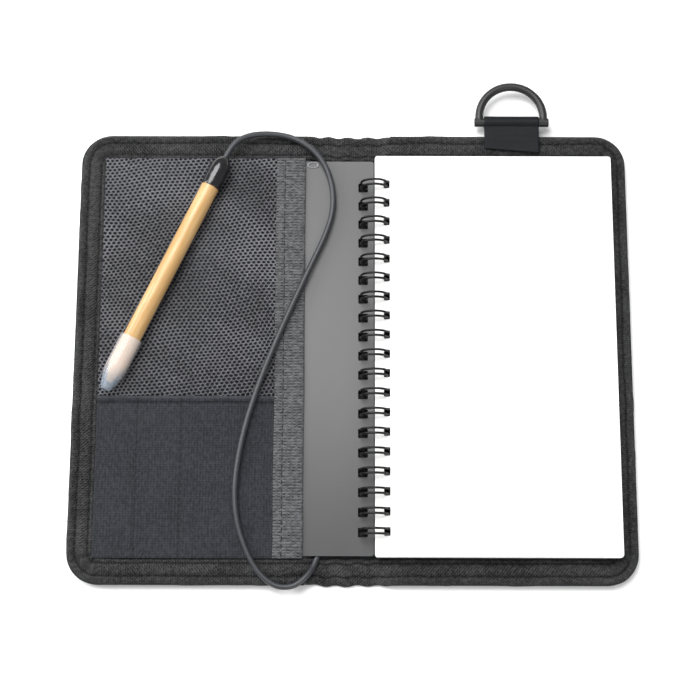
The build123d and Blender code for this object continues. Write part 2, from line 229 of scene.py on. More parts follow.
class Finish:
    """A material and the nodes that make it."""

    def __init__(self, name, base, roughness, **shader):
        self.base = base
        self.material = bpy.data.materials.new(name)
        self.material.use_nodes = True
        self.tree = self.material.node_tree
        self.shader = self.tree.nodes["Principled BSDF"]
        self.material.diffuse_color = opaque(base)
        self.set("Base Color", opaque(base))
        self.set("Roughness", roughness)
        for socket, value in shader.items():
            self.set(socket.replace("_", " "), value)

    def give(self, socket, value):
        """Give a socket a value or a link."""
        if isinstance(value, Field):
            self.tree.links.new(value.socket, socket)
        else:
            socket.default_value = value

    def set(self, socket, value):
        """Give one of the shader's sockets a value or a link."""
        self.give(self.shader.inputs[socket], value)

    def node(self, kind, settings=None, inputs=None, output=0):
        """A node with its settings, then the values or links of its sockets."""
        made = self.tree.nodes.new(kind)
        for name, value in (settings or {}).items():
            setattr(made, name, value)
        for name, value in (inputs or {}).items():
            self.give(made.inputs[name], value)
        return Field(self, made.outputs[output])

    def place(self, turn=0.0, stretch=(1, 1, 1)):
        """Object coordinates, turned about Z, then stretched."""
        where = self.node("ShaderNodeTexCoord", output="Object")
        if turn:
            where = self.node("ShaderNodeMapping", {}, {"Vector": where,
                                                        "Rotation": (0, 0, turn)})
        return self.node("ShaderNodeMapping", {}, {"Vector": where, "Scale": stretch})

    def cloth_place(self):
        """Distances along and across a strip of cloth, in metres."""
        where = self.node("ShaderNodeUVMap", {"uv_map": "cloth"})
        return self.parts(where)[:2]

    def parts(self, where):
        """The X, Y and Z of a vector."""
        made = self.node("ShaderNodeSeparateXYZ", {}, {0: where}).socket.node
        return [Field(self, made.outputs[i]) for i in range(3)]

    def noise(self, scale, detail=3.0, roughness=0.5, **place):
        """Soft random shade from 0 to 1, its pattern turned or stretched if asked."""
        return self.node("ShaderNodeTexNoise", {}, {"Vector": self.place(**place), "Scale": scale,
                                                   "Detail": detail, "Roughness": roughness})

    def fuzz(self, scale, start=0.34, end=0.68, **place):
        """Fine broken flecks, as on worn yarn."""
        return self.noise(scale, 3, 0.6, **place).steps(start, end)

    def tint(self, first, second, amount):
        """A colour between two colours."""
        return self.node("ShaderNodeMix", {"data_type": "RGBA"},
                         {0: amount, 6: opaque(first), 7: opaque(second)}, output=2)

    def shades(self, dark, light, amount):
        """The surface's colour, between a darker and a lighter shade of its base."""
        self.set("Base Color", self.tint(shade(self.base, dark), shade(self.base, light), amount))

    def grained(self, grain, rough, spread, depth):
        """Roughness and fine relief that follow one grain."""
        self.set("Roughness", rough + grain * spread)
        self.relief(grain, depth)

    def relief(self, height, depth, strength=1.0):
        """Fine relief on the surface."""
        self.set("Normal", self.node("ShaderNodeBump", {}, {"Height": height, "Distance": depth,
                                                            "Strength": strength}))


# Places of the ribbon's sewn grooves, where shade is painted, measured across its own width.
SEAM_PLACES = (10.3 * MM, 3.9 * MM)
FINISHES = {}


def finish(maker):
    """The material of a finish, made once."""
    if maker not in FINISHES:
        FINISHES[maker] = maker().material
    return FINISHES[maker]


def soft_cloth(name, base, roughness=0.78):
    """A cloth's material, with little shine."""
    return Finish(name, base, roughness, Specular_IOR_Level=0.12, Sheen_Weight=0.03,
                  Sheen_Roughness=0.5)


def ribbon_finish():
    """Grosgrain: ribs and a twill, lighter in flecks of uneven yarn with painted glints, and painted
    shade in the grooves along its seams.
    """
    made = soft_cloth("grosgrain_ribbon", colours().ribbon)
    along, across = made.cloth_place()
    rib = along.wave(sizes().rib)
    twill = (along + across * 0.8).wave(1.35 * MM)
    # light flecks: uneven yarn, partly painted glints where the weave catches light
    fleck = made.fuzz(620, 0.4, 0.62)
    patch = made.noise(75).steps(0.3, 0.7)
    # seam falls to 0 in the sewn grooves, where the weave is held dark as painted shade
    seam = 1.0
    for row in SEAM_PLACES:
        seam = seam * (across - row).size().steps(0.25 * MM, 1.1 * MM)
    weave = fleck * 0.27 + twill * 0.35 + rib * 0.08 + patch * 0.22
    made.shades(0.05, 4.8, weave * (seam * 0.72 + 0.28))
    made.set("Roughness", 0.66 + patch * 0.2)
    made.relief(rib * 0.6 + twill * 0.4 + fleck * 0.8, 0.45 * MM)
    return made


def cloth_finish():
    """Plain woven nylon, seen on the case's outside and lining."""
    made = soft_cloth("woven_nylon", colours().cloth)
    x, y, _ = made.parts(made.place())
    warp, weft = x.wave(0.9 * MM), y.wave(0.9 * MM)
    over = warp * weft + (1 - warp) * (1 - weft)
    made.shades(0.5, 2.2, over * 0.5 + made.noise(45, 4) * 0.4)
    made.relief(over, 0.15 * MM)
    return made


def net_finish():
    """Shiny nylon yarn of the net, lighter in folds where it catches the light."""
    made = Finish("net_yarn", colours().net, 0.42, Specular_IOR_Level=0.35)
    patch = made.noise(26, turn=0.6, stretch=(0.6, 1.5, 1)).steps(0.34, 0.66)
    twist = made.fuzz(900)
    made.shades(0.2, 2.1, patch * 0.4 + twist * 0.55)
    made.grained(twist, 0.32, 0.3, 0.12 * MM)
    return made


def backing_finish():
    """Thin black cloth behind the net."""
    made = soft_cloth("net_backing_cloth", (0.006, 0.006, 0.008))
    made.set("Base Color", made.tint((0.003, 0.003, 0.0035), (0.012, 0.013, 0.02),
                                     made.noise(60)))
    made.relief(made.noise(1100, 2), 0.08 * MM)
    return made


def elastic_finish():
    """Woven elastic: fine crossing ribs and a soft nap, with a painted highlight along its hem and a
    painted shadow line below it.
    """
    made = soft_cloth("woven_elastic", colours().elastic, 0.85)
    along, across = made.cloth_place()
    rib, cross = across.wave(1.05 * MM), along.wave(1.3 * MM)
    fuzz = made.fuzz(1000, stretch=(1, 0.55, 1))
    hem = across - (high("elastic_pocket").y - low("elastic_pocket").y)
    # painted shadow line under the raised hem, and a painted highlight along its top edge
    hem_shadow = 1 - (hem + 2.6 * MM).size().steps(0.3 * MM, 1.0 * MM)
    edge = hem.steps(-1.3 * MM, -0.7 * MM) * 0.45 - hem_shadow * 0.35
    made.shades(0.45, 1.9, rib * 0.14 + cross * 0.12 + fuzz * 0.38
                + made.noise(50, 4) * 0.3 + edge)
    made.relief(rib * 0.4 + cross * 0.4 + fuzz * 0.6, 0.2 * MM)
    return made


def webbing_finish():
    """Woven tape: rows of thick yarns that pass over and under."""
    made = soft_cloth("woven_tape", colours().webbing)
    along, across = made.cloth_place()
    row, side = along.wave(1.25 * MM), across.wave(2.0 * MM)
    over = row * (side * 0.5 + 0.5) + (1 - row) * (1 - side) * 0.35
    fuzz = made.fuzz(620, stretch=(1, 2, 1))
    made.shades(0.15, 2.1, over * 0.5 + fuzz * 0.42)
    made.relief(over + fuzz * 0.5, 0.3 * MM)
    return made


def thread_finish():
    """Black sewing thread."""
    made = Finish("sewing_thread", (0.006, 0.006, 0.0065), 0.55, Specular_IOR_Level=0.3)
    twist = made.noise(1500, 2, stretch=(1, 3, 1))
    made.relief(twist, 0.05 * MM)
    made.set("Roughness", 0.45 + twist * 0.2)
    return made


def cover_finish():
    """Fine-grained matt plastic with a soft rub along its length, with painted shade that makes it
    darker towards its ends.
    """
    made = Finish("matt_cover_plastic", colours().cover, 0.5, Specular_IOR_Level=0.35)
    grain = made.noise(2200, 2)
    rub = made.noise(28, stretch=(1, 0.25, 1))
    _, y, _ = made.parts(made.place())
    # painted shade: darker towards the bottom end, and a little towards the top
    painted_shading = y.steps(-100 * MM, 0.0) * (1 - y.steps(10 * MM, 90 * MM) * 0.36)
    made.shades(0.34, 1.28, painted_shading * 0.66 + rub * 0.24 + grain * 0.1)
    made.grained(grain, 0.42, 0.18, 0.04 * MM)
    return made


def paper_finish():
    """Smooth uncoated paper with a faint tooth."""
    made = Finish("uncoated_paper", colours().paper, 0.85)
    tooth = made.noise(1800)
    made.shades(0.985, 1.01, tooth)
    made.relief(tooth, 0.015 * MM)
    return made


def wire_finish():
    """Thin nylon coat on steel wire."""
    made = Finish("coated_wire", colours().wire, 0.3, Specular_IOR_Level=0.3)
    chip = made.noise(1200)
    made.grained(chip, 0.26, 0.18, 0.02 * MM)
    return made


def ring_finish():
    """Moulded plastic with a satin skin."""
    made = Finish("moulded_ring_plastic", colours().ring, 0.42, Specular_IOR_Level=0.4)
    flow = made.noise(260)
    made.shades(0.85, 1.2, flow)
    made.set("Roughness", 0.34 + flow * 0.16)
    made.relief(made.noise(2600, 2), 0.03 * MM)
    return made


def tab_finish():
    """Close satin weave of the folded tab."""
    made = Finish("satin_tab", colours().tab, 0.5, Specular_IOR_Level=0.16)
    along, across = made.cloth_place()
    fine = across.wave(0.34 * MM) * 0.5 + along.wave(0.5 * MM) * 0.5
    made.shades(0.7, 1.7, fine * 0.4 + made.noise(150) * 0.5)
    made.relief(fine, 0.07 * MM)
    return made


def wood_finish():
    """Pale lacquered wood, its grain along the pencil."""
    made = Finish("lacquered_wood", colours().wood, 0.32, Specular_IOR_Level=0.35, Coat_Weight=0.12,
                  Coat_Roughness=0.16)
    turn = -PENCIL_HEADING
    grain = made.noise(1500, 4, 0.6, turn=turn, stretch=(0.05, 1, 1))
    figure = made.noise(330, turn=turn, stretch=(0.12, 1, 1)).steps(0.4, 0.65)
    fleck = made.noise(4200, 2, turn=turn, stretch=(0.2, 1, 1)).steps(0.62, 0.78)
    pale = made.tint(shade(made.base, 1.1), (0.62, 0.43, 0.22), figure * 0.6)
    veined = made.tint(pale, (0.50, 0.27, 0.09), grain.steps(0.4, 0.75) * 0.6)
    made.set("Base Color", made.tint(veined, (0.30, 0.14, 0.05), fleck * 0.3))
    made.grained(grain, 0.28, 0.12, 0.03 * MM)
    return made


def graphite_finish():
    """Lead of the pencil."""
    made = Finish("graphite", (0.05, 0.05, 0.055), 0.35, Metallic=0.4)
    made.set("Roughness", 0.3 + made.noise(1500, 2) * 0.25)
    return made


def boot_finish():
    """Glossy shrunk sleeve over the pencil's end, its wrinkles lighter in patches of painted
    reflection.
    """
    made = Finish("shrunk_sleeve", colours().boot, 0.16, Specular_IOR_Level=0.5, Coat_Weight=0.15,
                  Coat_Roughness=0.08)
    wrinkles_and_sheen = made.noise(210)
    # lighter patches are painted reflections on the glossy wrinkled sleeve
    made.shades(1, 3, wrinkles_and_sheen.steps(0.45, 0.8))
    made.grained(wrinkles_and_sheen, 0.12, 0.16, 0.3 * MM)
    return made


def cap_finish():
    """Clear plastic, a little milky, bluer where it is hollow past the pencil's cone."""
    made = Finish("clear_cap_plastic", colours().cap, 0.14, Alpha=0.2, Coat_Weight=0.1)
    haze = made.noise(160)
    along = made.parts(made.place(-PENCIL_HEADING))[0] - PENCIL_END.dot(PENCIL_DIR)
    hollow = along.steps(CONE_START * MM, CONE_END * MM)
    made.set("Base Color", made.tint((0.86, 0.82, 0.81), (0.40, 0.47, 0.56), hollow))
    made.set("Roughness", 0.1 + haze * 0.14)
    made.set("Alpha", 0.2 + haze * 0.14)
    return made


def cord_finish():
    """Smooth rubbery cord with a faint bloom."""
    made = Finish("smooth_cord", colours().cord, 0.45)
    bloom = made.noise(420)
    made.shades(0.8, 1.35, bloom)
    made.grained(bloom, 0.38, 0.18, 0.03 * MM)
    return made


def board_finish():
    """Grey board inside the panels."""
    made = Finish("panel_board", (0.2, 0.19, 0.17), 0.9)
    made.relief(made.noise(900), 0.05 * MM)
    return made


def eyelet_finish():
    """Grey moulded plastic."""
    made = Finish("grey_eyelet", (0.16, 0.16, 0.165), 0.4)
    made.relief(made.noise(1500, 2), 0.03 * MM)
    return made


def floor_finish():
    """Plain pale floor."""
    return Finish("pale_floor", colours().floor, 0.9)


# ---- shaping tools
def new_piece(name, form, maker, sharp=38):
    """A mesh object from a bmesh, smooth but for its sharp edges."""
    for edge in form.edges:
        if len(edge.link_faces) == 2 and edge.calc_face_angle(0) > math.radians(sharp):
            edge.smooth = False
    for face in form.faces:
        face.smooth = True
    mesh = bpy.data.meshes.new(name)
    form.to_mesh(mesh)
    form.free()
    piece = bpy.data.objects.new(name, mesh)
    bpy.context.scene.collection.objects.link(piece)
    mesh.materials.append(finish(maker))
    return piece


def fit(piece, node, body=None):
    """Hide the CAD node that a piece stands for, and attach the piece to the body that it rides on,
    if one is given.
    """
    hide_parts(node)
    if body:
        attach(piece, body)
    return piece


def paint(node, maker):
    """Give a CAD node its finish."""
    materials = frame["nodes"][node].data.materials
    materials.clear()
    materials.append(finish(maker))


def thicken(piece, thickness, offset=-1.0):
    """Give a sheet its thickness."""
    solid = piece.modifiers.new("thickness", "SOLIDIFY")
    solid.thickness = thickness
    solid.offset = offset
    solid.use_even_offset = True
    return piece


def soften(piece, levels=1):
    """Round a mesh with subdivision."""
    smooth = piece.modifiers.new("softness", "SUBSURF")
    smooth.levels = smooth.render_levels = levels
    return piece


def settle(piece):
    """Apply a piece's modifiers."""
    depsgraph = bpy.context.evaluated_depsgraph_get()
    mesh = bpy.data.meshes.new_from_object(piece.evaluated_get(depsgraph),
                                           preserve_all_data_layers=True, depsgraph=depsgraph)
    piece.modifiers.clear()
    piece.data = mesh
    return piece


def cloth_grid(across, along, span, put):
    """A grid of cloth. put(u, v) gives each point's place, u and v from 0 to 1;
    span is the cloth's real size, kept in the piece's own map for its weave."""
    form = bmesh.new()
    bmesh.ops.create_grid(form, x_segments=along, y_segments=across, size=0.5)
    chart = form.loops.layers.uv.new("cloth")
    for face in form.faces:
        for loop in face.loops:
            loop[chart].uv = ((loop.vert.co.x + 0.5) * span[0], (loop.vert.co.y + 0.5) * span[1])
    for vert in form.verts:
        vert.co = put(vert.co.x + 0.5, vert.co.y + 0.5)
    return form


def facing_up(form):
    """Turn a sheet's faces so that they look up."""
    bmesh.ops.recalc_face_normals(form, faces=form.faces)
    if sum(face.normal.z * face.calc_area() for face in form.faces) < 0:
        bmesh.ops.reverse_faces(form, faces=form.faces)
    return form


def wander(place, scale, seed):
    """A smooth random value from about -1 to 1."""
    return noise.noise(Vector(place) / scale + Vector((seed * 7.3, seed * 3.1, seed * 5.7)))


def between(a, b, amount):
    """A value part of the way from a to b."""
    return a + (b - a) * amount


def ease(amount):
    """0 to 1, smooth at both ends."""
    amount = max(0.0, min(1.0, amount))
    return amount * amount * (3 - 2 * amount)


def sew(name, places):
    """A piece of short threads, one at each (middle, direction)."""
    half, thick = sizes().stitch_length / 2, sizes().thread / 2
    form = bmesh.new()
    for middle, onward in places:
        side = onward.cross(UP).normalized()
        turn = Matrix((onward * half, side * thick, UP * thick)).transposed().to_4x4()
        bmesh.ops.create_uvsphere(form, u_segments=6, v_segments=5, radius=1,
                                  matrix=Matrix.Translation(middle) @ turn
                                  @ Matrix.Rotation(math.pi / 2, 4, "Y"))
    return new_piece(name, form, thread_finish)


def stretch_over_cover(name, form, maker, thickness, node):
    """A cloth of the front panel, held over the notebook's front cover."""
    cloth = thicken(new_piece(name, form, maker, sharp=80), thickness, 1.0)
    fit(cloth, node, FRONT)


def cut(form, point, normal, clear=False):
    """Cut a mesh by a plane, and clear what lies beyond it if asked."""
    bmesh.ops.bisect_plane(form, geom=form.verts[:] + form.edges[:] + form.faces[:],
                           plane_co=point, plane_no=normal, clear_outer=clear)


def joined(mesh, distance=SAME_PLACE):
    """A bmesh of a mesh, with points that share a place joined."""
    form = bmesh.new()
    form.from_mesh(mesh)
    bmesh.ops.remove_doubles(form, verts=form.verts, dist=distance)
    return form


def cad_form(node, flats=True):
    """A bmesh of a CAD node, its loose triangles joined and its flats made whole again."""
    form = joined(frame["nodes"][node].data)
    if flats:
        bmesh.ops.dissolve_limit(form, angle_limit=math.radians(0.5), verts=form.verts,
                                 edges=form.edges)
    return form


# ---- the case's edge
# The ribbon's section, from its inner edge over the outside to the underside:
# (distance in from the case's edge, height), in millimetres.
SECTION = [
    (11.6, 3.95), (11.2, 4.5), (10.3, 4.75), (9.5, 4.1), (8.7, 4.75), (7.3, 5.2), (5.8, 5.1),
    (4.7, 4.6), (3.9, 3.75), (3.1, 4.6), (2.0, 5.1), (1.0, 4.6), (0.25, 3.5), (0.0, 2.3),
    (0.15, 1.2), (0.7, 0.35), (1.7, 0.02), (3.9, 0.1), (5.5, 0.0), (9.5, 0.12), (10.4, 0.0),
    (11.5, 0.05),
]
# Rows of stitches: distance in from the case's edge, and height.
STITCH_ROWS = ((3.9 * MM, 4.12 * MM), (9.5 * MM, 4.3 * MM))


def section_at(v):
    """Distance in and height at v, from 0 to 1 round the section."""
    at = v * (len(SECTION) - 1)
    step = min(int(at), len(SECTION) - 2)
    (d0, z0), (d1, z1) = SECTION[step], SECTION[step + 1]
    return between(d0, d1, at - step) * MM, between(z0, z1, at - step) * MM


def panel_run(side):
    """Straight and curved lengths of a panel's free edge."""
    start_x = SPINE_RIGHT if side > 0 else -SPINE_LEFT
    return start_x, OUTER_X - CORNER_R - start_x, 2 * (HALF_Y - CORNER_R), CORNER_R * math.pi / 2


def edge_at(side, distance):
    """(point, outward, onward) at a distance along a panel's free edge, from the spine's
    bottom end round to its top end."""
    start_x, flat_x, flat_y, bend = panel_run(side)
    corner = Vector((OUTER_X - CORNER_R, -HALF_Y + CORNER_R, 0))
    if distance < flat_x:
        point, turn = Vector((start_x + distance, -HALF_Y, 0)), 0.0
    elif distance < flat_x + bend:
        turn = (distance - flat_x) / CORNER_R
        point = corner + Vector((math.sin(turn), -math.cos(turn), 0)) * CORNER_R
    elif distance < flat_x + bend + flat_y:
        point, turn = corner + Vector((CORNER_R, distance - flat_x - bend, 0)), math.pi / 2
    elif distance < flat_x + 2 * bend + flat_y:
        turn = (distance - flat_x - flat_y) / CORNER_R
        top = Vector((corner.x, HALF_Y - CORNER_R, 0))
        point = top + Vector((math.sin(turn), -math.cos(turn), 0)) * CORNER_R
    else:
        left = distance - flat_x - 2 * bend - flat_y
        point, turn = Vector((OUTER_X - CORNER_R - left, HALF_Y, 0)), math.pi
    outward = Vector((math.sin(turn) * side, -math.cos(turn), 0))
    onward = Vector((math.cos(turn) * side, math.sin(turn), 0))
    return Vector((point.x * side, point.y, 0)), outward, onward


def ribbon_point(point, outward, inset, height, thin=1.0):
    """A point on the ribbon, with the wander of a sewn edge. thin flattens it at the spine."""
    waviness = sizes().waviness
    drift = wander((point.x, point.y, 0), 17 * MM, 1) * 0.9 + wander(point, 5 * MM, 2) * 0.35
    edge = 1 - inset / (BINDING_WIDTH * 1.3)
    place = point + outward * (drift * waviness * edge - inset - waviness * 0.5 * edge)
    lift = wander((place.x, place.y, 0), 9 * MM, 3) * 0.6 * waviness
    corner = Vector((abs(point.x) - OUTER_X + CORNER_R, abs(point.y) - HALF_Y + CORNER_R))
    if min(corner) > 0:
        pleat = math.cos(math.atan2(corner.y, corner.x) * 9 + (point.x > 0) * 1.3)
        lift += pleat * 0.5 * MM * ease(inset / (4 * MM))
    top = ease((height - 1.5 * MM) / (2.5 * MM))
    return place + Vector((0, 0, height * thin + lift * top))


def spine_thin(x):
    """How thin the ribbon is over the spine, from 1 at the panels."""
    into = min(x - SPINE_LEFT, SPINE_RIGHT - x)
    return between(1.0, 0.42, ease(into / (6.5 * MM)))


def ribbon_form(length_along, steps, put):
    """A strip of ribbon folded by put, its outer face outward."""
    form = cloth_grid(len(SECTION) - 1, steps, (length_along, RIBBON_WIDTH), put)
    bmesh.ops.recalc_face_normals(form, faces=form.faces)
    if sum(face.normal.z * face.calc_center_median().z for face in form.faces) < 0:
        bmesh.ops.reverse_faces(form, faces=form.faces)
    return form


def make_panel_ribbon(side, body, name):
    """The folded ribbon round one panel, and its rows of stitches."""
    _, flat_x, flat_y, bend = panel_run(side)
    run = 2 * flat_x + flat_y + 2 * bend

    def put(u, v):
        point, outward, _ = edge_at(side, u * run)
        return ribbon_point(point, outward, *section_at(v))

    form = ribbon_form(run, int(run / (1.7 * MM)), put)
    ribbon = new_piece(f"{name}_ribbon", form, ribbon_finish, sharp=80)
    soften(thicken(ribbon, 0.4 * MM))
    fit(ribbon, f"{name}_binding", body)

    count = int(run / sizes().stitch)
    places = []
    for inset, height in STITCH_ROWS:
        for i in range(count):
            point, outward, onward = edge_at(side, (i + 0.5) * run / count)
            places.append((ribbon_point(point, outward, inset, height), onward))
    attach(sew(f"{name}_ribbon_stitches", places), body)


def make_spine_ribbon():
    """The thin ribbon over both ends of the spine."""
    width = SPINE_RIGHT - SPINE_LEFT
    count = int(width / sizes().stitch)
    lap, gather_pitch, gather_size = 0.3 * MM, 9 * MM, 0.6 * MM
    whole = bmesh.new()
    places = []
    for end in (-1, 1):
        def ribbon_at(x, inset, height):
            return ribbon_point(Vector((x, end * HALF_Y, 0)), Vector((0, end, 0)), inset, height,
                                spine_thin(x))

        def put(u, v):
            x = between(SPINE_LEFT - lap, SPINE_RIGHT + lap, u)
            gather = math.cos((x - SPINE_LEFT) * 2 * math.pi / gather_pitch) * (1 - spine_thin(x))
            return ribbon_at(x, *section_at(v)) + Vector((0, end * gather * gather_size, 0))

        form = ribbon_form(width, 44, put)
        mesh = bpy.data.meshes.new("spine_ribbon_end")
        form.to_mesh(mesh)
        form.free()
        whole.from_mesh(mesh)
        bpy.data.meshes.remove(mesh)
        for inset, height in STITCH_ROWS:
            for i in range(count):
                x = SPINE_LEFT + (i + 0.5) * width / count
                places.append((ribbon_at(x, inset, height), ALONG_X))
    ribbon = new_piece("spine_ribbon", whole, ribbon_finish, sharp=80)
    settle(soften(thicken(ribbon, 0.35 * MM)))
    fit(ribbon, "spine_binding")
    for piece in (ribbon, sew("spine_ribbon_stitches", places)):
        bend_with_spine(piece)


def bend_with_spine(piece):
    """Bake the piece's place into its mesh; it is left where it lies."""
    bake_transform(piece)


# ---- operators, one for each group
FLOOR_GAP = 0.05 * MM
WORLD_LIGHT = 0.42
# Soft lamps: name, place and width in metres, power in watts.
LAMPS = (
    ("overhead", (-0.35, 0.55, 1.2), 0.9, 24),
    ("front_fill", (0.5, -0.9, 0.9), 0.9, 6),
    ("side", (-1.0, 0.3, 0.5), 0.4, 7),
)
CAMERA_PLACE = Vector((-0.9, -136.4, 650.7)) * MM
CAMERA_TURN = (math.radians(12.05), 0, math.radians(0.15))
CAMERA_LENS, CAMERA_SENSOR = 78.35, 36


class NOTEBOOK_OT_stage(bpy.types.Operator):
    """Floor, soft light and the camera above the open notebook"""
    bl_idname = "notebook.stage"
    bl_label = "Stage"

    def execute(self, context):
        form = bmesh.new()
        bmesh.ops.create_grid(form, x_segments=2, y_segments=2, size=2.5)
        floor = new_piece("floor", form, floor_finish)
        floor.location.z = -FLOOR_GAP

        world = bpy.data.worlds.new("studio")
        context.scene.world = world
        world.use_nodes = True
        back = world.node_tree.nodes["Background"]
        back.inputs["Color"].default_value = (1, 1, 1, 1)
        back.inputs["Strength"].default_value = WORLD_LIGHT
        for name, place, size, power in LAMPS:
            lamp = bpy.data.lights.new(name, "AREA")
            lamp.size, lamp.energy = size, power
            light = bpy.data.objects.new(name, lamp)
            light.location = place
            light.rotation_euler = Vector(place).to_track_quat("Z", "Y").to_euler()
            context.scene.collection.objects.link(light)

        lens = bpy.data.cameras.new("camera")
        lens.lens, lens.sensor_width = CAMERA_LENS, CAMERA_SENSOR
        camera = bpy.data.objects.new("camera", lens)
        camera.location = CAMERA_PLACE
        camera.rotation_euler = CAMERA_TURN
        context.scene.collection.objects.link(camera)
        context.scene.camera = camera
        context.scene.view_settings.view_transform = "Standard"
        return {"FINISHED"}


class NOTEBOOK_OT_cord(bpy.types.Operator):
    """Round cord from the pencil's end to the tab under the cover"""
    bl_idname = "notebook.cord"
    bl_label = "Cord"

    def execute(self, context):
        curve = bpy.data.curves.new("cord_line", "CURVE")
        curve.dimensions = "3D"
        curve.resolution_u = 14
        line = curve.splines.new("NURBS")
        line.points.add(len(CORD_ROUTE) - 1)
        for knot, place in zip(line.points, CORD_ROUTE):
            knot.co = (*(Vector(place) * MM), 1)
        line.order_u = 3
        line.use_endpoint_u = True
        holder = bpy.data.objects.new("cord_line", curve)
        path = [vert.co.copy() for vert in bpy.data.meshes.new_from_object(holder).vertices]
        curve.bevel_depth = sizes().cord / 2
        curve.bevel_resolution = 5
        curve.use_fill_caps = True
        form = joined(bpy.data.meshes.new_from_object(holder))
        bmesh.ops.recalc_face_normals(form, faces=form.faces)
        cord = new_piece("pencil_cord", form, cord_finish, sharp=60)
        bpy.data.objects.remove(holder)
        fit(cord, "tether_cord")
        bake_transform(cord)
        run = sum((b - a).length for a, b in zip(path, path[1:]))
        [tuple(p) for p in path]
        return {"FINISHED"}


class NOTEBOOK_OT_ribbon(bpy.types.Operator):
    """Grosgrain ribbon sewn round the case's edge"""
    bl_idname = "notebook.ribbon"
    bl_label = "Ribbon"

    def execute(self, context):
        make_panel_ribbon(-1, FRONT, "front")
        make_panel_ribbon(1, BACK, "back")
        make_spine_ribbon()
        return {"FINISHED"}


# Where the tucked cover swells: its left, its right and half its height.
SWELL_LEFT, SWELL_RIGHT, SWELL_HALF_Y = -0.11, -0.034, 0.0885


def cover_swell(x, y):
    """Height of the tucked cover and the soft cloth over it above their flat places."""
    broad = wander((x, y, 0), 34 * MM, 4) * 0.8 + wander((x, y, 0), 13 * MM, 5) * 0.35
    border = min(x - SWELL_LEFT, SWELL_RIGHT - x, SWELL_HALF_Y - abs(y))
    return max(0.0, broad + 0.35) * 0.55 * MM * ease(border / (12 * MM))


NET_BIAS = math.radians(6)
NET_STRETCH = (1.11, 0.905, 1)
NET_SPARE = 1.12            # sheet cut before it is turned, against the pocket's diagonal
NET_DRIFT = 1.6             # how far its weave wanders, in millimetres
NET_DEPTH = 0.37 * MM       # from the net's top to the cloth behind it


class NOTEBOOK_OT_net(bpy.types.Operator):
    """Net pocket, every hole cut through"""
    bl_idname = "notebook.net"
    bl_label = "Net pocket"

    def execute(self, context):
        left, right, bottom, top = flat_box("net_pocket")
        size = (right - left, top - bottom)
        cell = sizes().net_cell
        row = cell * math.sqrt(3)
        form = bmesh.new()
        for place in ((0, 0, 0), (cell / 2, row / 2, 0)):
            bmesh.ops.create_circle(form, cap_ends=True, segments=6, radius=cell / math.sqrt(3),
                                    matrix=Matrix.Translation(place))
        bmesh.ops.inset_individual(form, faces=form.faces[:],
                                   thickness=(cell - sizes().net_hole) / 2)
        holes = [face for face in form.faces if len(face.verts) == 6]
        bmesh.ops.delete(form, geom=holes, context="FACES")
        net = new_piece("net_cloth", form, net_finish, sharp=70)
        reach = math.hypot(*size) * NET_SPARE
        for name, step in (("columns", (cell, 0, 0)), ("rows", (0, row, 0))):
            array = net.modifiers.new(name, "ARRAY")
            array.count = int(reach / max(step)) + 2
            array.use_relative_offset = False
            array.use_constant_offset = True
            array.constant_offset_displace = step
            array.use_merge_vertices = True
            array.merge_threshold = 0.02 * MM
        form = joined(settle(net).data, 0.03 * MM)
        bmesh.ops.translate(form, verts=form.verts, vec=(-reach / 2, -reach / 2, 0))
        bmesh.ops.scale(form, verts=form.verts, vec=NET_STRETCH)
        bmesh.ops.transform(form, verts=form.verts,
                            matrix=Matrix.Translation(((left + right) / 2, (bottom + top) / 2, 0))
                            @ Matrix.Rotation(NET_BIAS, 4, "Z"))
        for vert in form.verts:
            vert.co += Vector((wander(vert.co, 22 * MM, 11), wander(vert.co, 22 * MM, 12),
                               0)) * NET_DRIFT * MM
        for point, normal in (((left, 0, 0), (-1, 0, 0)), ((right, 0, 0), (1, 0, 0)),
                              ((0, bottom, 0), (0, -1, 0)), ((0, top, 0), (0, 1, 0))):
            cut(form, point, normal, clear=True)
        height = high("net_pocket").z - sizes().net_strand
        for vert in form.verts:
            vert.co.z = height + cover_swell(vert.co.x, vert.co.y)
        facing_up(form)
        rest = high("net_pocket").z - NET_DEPTH

        def behind(u, v):
            x, y = between(left, right, u), between(bottom, top, v)
            return Vector((x, y, rest + cover_swell(x, y)))

        stretch_over_cover("net_backing", facing_up(cloth_grid(60, 46, size, behind)),
                           backing_finish, 0.08 * MM, "net_pocket")
        strands = sum(face.calc_area() for face in form.faces)
        form.to_mesh(net.data)
        form.free()
        thicken(net, sizes().net_strand, 1.0)
        fit(net, "net_pocket", FRONT)
        return {"FINISHED"}


CHANNEL_SHARES = (0.225, 0.475)     # places of the sewn channels across the pocket


class NOTEBOOK_OT_elastic(bpy.types.Operator):
    """Elastic pen pocket with its hem and sewn channels"""
    bl_idname = "notebook.elastic"
    bl_label = "Elastic pocket"

    def execute(self, context):
        left, right, bottom, top = flat_box("elastic_pocket")
        rest = high("elastic_pocket").z - 0.6 * MM
        size = (right - left, top - bottom)
        channels = [left + share * size[0] for share in CHANNEL_SHARES]

        def put(u, v):
            x, y = between(left, right, u), between(bottom, top, v)
            dip = sum(math.exp(-((x - at) / (1.1 * MM)) ** 2) for at in channels)
            swell = cover_swell(x, y) * 0.6 + 0.1 * MM
            hem = ease((y - top + 2.2 * MM) / (0.6 * MM)) * 0.3 * MM
            side = ease(min(x - left, right - x) / (6 * MM))
            return Vector((x, y, rest + (swell * side + hem) * (1 - 0.85 * dip)))

        form = facing_up(cloth_grid(60, 110, size, put))
        stretch_over_cover("elastic_cloth", form, elastic_finish, 0.4 * MM,
                           "elastic_pocket")

        count = int(size[1] / (2.6 * MM))
        places = [(put((x - left) / size[0], (i + 0.5) / count) + UP * 0.47 * MM, ALONG_Y)
                  for x in channels for i in range(count)]
        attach(sew("elastic_stitches", places), FRONT)
        return {"FINISHED"}


